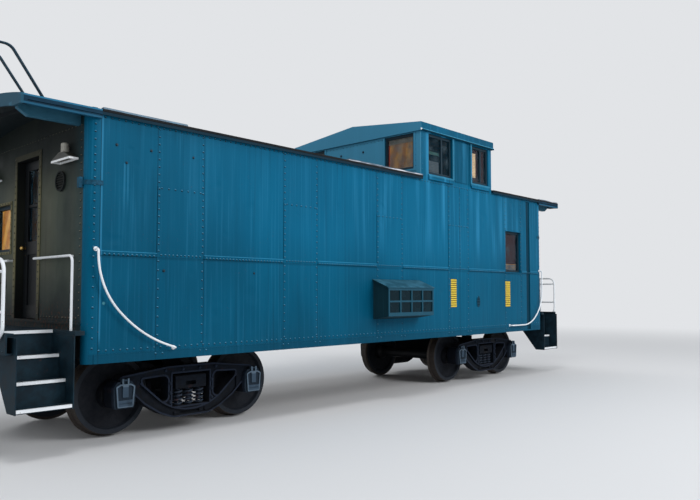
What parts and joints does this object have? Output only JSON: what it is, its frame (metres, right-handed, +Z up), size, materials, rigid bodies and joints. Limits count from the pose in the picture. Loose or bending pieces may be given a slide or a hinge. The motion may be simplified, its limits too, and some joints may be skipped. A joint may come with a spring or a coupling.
{
  "type": "railway caboose",
  "caption": "Steel railway caboose with a cupola, end platforms, hinged end doors, swivelling trucks and free wheelsets.",
  "frame": {"origin": "middle of the car on the plane of the rail tops, on the centre line of the track", "axes": "+X along the car to end B, +Y across it, +Z up"},
  "size_m": [11.3782, 3.145, 4.2749],
  "materials": {
    "body_paint": "weathered semi-gloss",
    "roof_paint": "matte black",
    "end_paint": "weathered satin",
    "rail_white": "gloss",
    "underframe_black": "matte",
    "deck_steel": "worn",
    "cast_steel": "rough",
    "wheel_steel": "rough",
    "spring_steel": "rough",
    "sash_paint": "satin",
    "window_glass": "clear",
    "floor_wood": "worn",
    "lamp_white": "gloss",
    "door_paint": "satin"
  },
  "bodies": {
    "car_body": {"side_wall_near": "body_paint", "side_wall_far": "body_paint", "end_wall_a": "end_paint", "end_wall_b": "end_paint", "main_roof": "roof_paint", "floor": "floor_wood", "cupola_side_near": "body_paint", "cupola_side_far": "body_paint", "cupola_end_a": "body_paint", "cupola_end_b": "body_paint", "cupola_roof": "body_paint", "centre_sill": "underframe_black", "side_sills": "underframe_black", "cross_members": "underframe_black", "platform_a": "deck_steel", "platform_b": "deck_steel", "steps_a": "deck_steel", "steps_b": "deck_steel", "end_railings_a": "rail_white", "end_railings_b": "rail_white", "window_sashes": "sash_paint", "window_panes": "window_glass", "cupola_sashes": "sash_paint", "cupola_panes": "window_glass", "handrails_a": "rail_white", "handrails_b": "rail_white", "side_grab_irons": "rail_white", "roof_ladder_a": "underframe_black", "roof_ladder_b": "underframe_black", "hand_brake_a": "underframe_black", "coupler_a": "cast_steel", "coupler_b": "cast_steel", "cooler_cover": "body_paint", "end_vents": "end_paint", "porch_lights": "lamp_white", "marker_brackets": "body_paint", "brake_equipment": "underframe_black"},
    "door_a": {"end_door_a": "door_paint", "door_pane_a": "window_glass"},
    "door_b": {"end_door_b": "door_paint", "door_pane_b": "window_glass"},
    "truck_a": {"truck_a_side_frames": "cast_steel", "truck_a_bolster": "cast_steel", "truck_a_springs": "spring_steel", "truck_a_brake_gear": "cast_steel"},
    "wheelset_a1": {"wheelset_a1": "wheel_steel"},
    "wheelset_a2": {"wheelset_a2": "wheel_steel"},
    "truck_b": {"truck_b_side_frames": "cast_steel", "truck_b_bolster": "cast_steel", "truck_b_springs": "spring_steel", "truck_b_brake_gear": "cast_steel"},
    "wheelset_b1": {"wheelset_b1": "wheel_steel"},
    "wheelset_b2": {"wheelset_b2": "wheel_steel"}
  },
  "joints": [
    {"name": "door_a_hinge", "type": "hinge", "parent": "car_body", "child": "door_a", "pos_m": [-4.359, -0.287, 2.1], "axis": [0, 0, -1], "range_deg": [0, 90]},
    {"name": "door_b_hinge", "type": "hinge", "parent": "car_body", "child": "door_b", "pos_m": [4.359, 0.287, 2.1], "axis": [0, 0, -1], "range_deg": [0, 90]},
    {"name": "truck_a_swivel", "type": "hinge", "parent": "car_body", "child": "truck_a", "pos_m": [-3.08, 0, 0.7], "axis": [0, 0, 1], "range_deg": [-5, 5]},
    {"name": "wheelset_a1_spin", "type": "hinge", "parent": "truck_a", "child": "wheelset_a1", "pos_m": [-3.918, 0, 0.419], "axis": [0, 1, 0], "continuous": true},
    {"name": "wheelset_a2_spin", "type": "hinge", "parent": "truck_a", "child": "wheelset_a2", "pos_m": [-2.242, 0, 0.419], "axis": [0, 1, 0], "continuous": true},
    {"name": "truck_b_swivel", "type": "hinge", "parent": "car_body", "child": "truck_b", "pos_m": [3.08, 0, 0.7], "axis": [0, 0, 1], "range_deg": [-5, 5]},
    {"name": "wheelset_b1_spin", "type": "hinge", "parent": "truck_b", "child": "wheelset_b1", "pos_m": [2.242, 0, 0.419], "axis": [0, 1, 0], "continuous": true},
    {"name": "wheelset_b2_spin", "type": "hinge", "parent": "truck_b", "child": "wheelset_b2", "pos_m": [3.918, 0, 0.419], "axis": [0, 1, 0], "continuous": true}
  ]
}
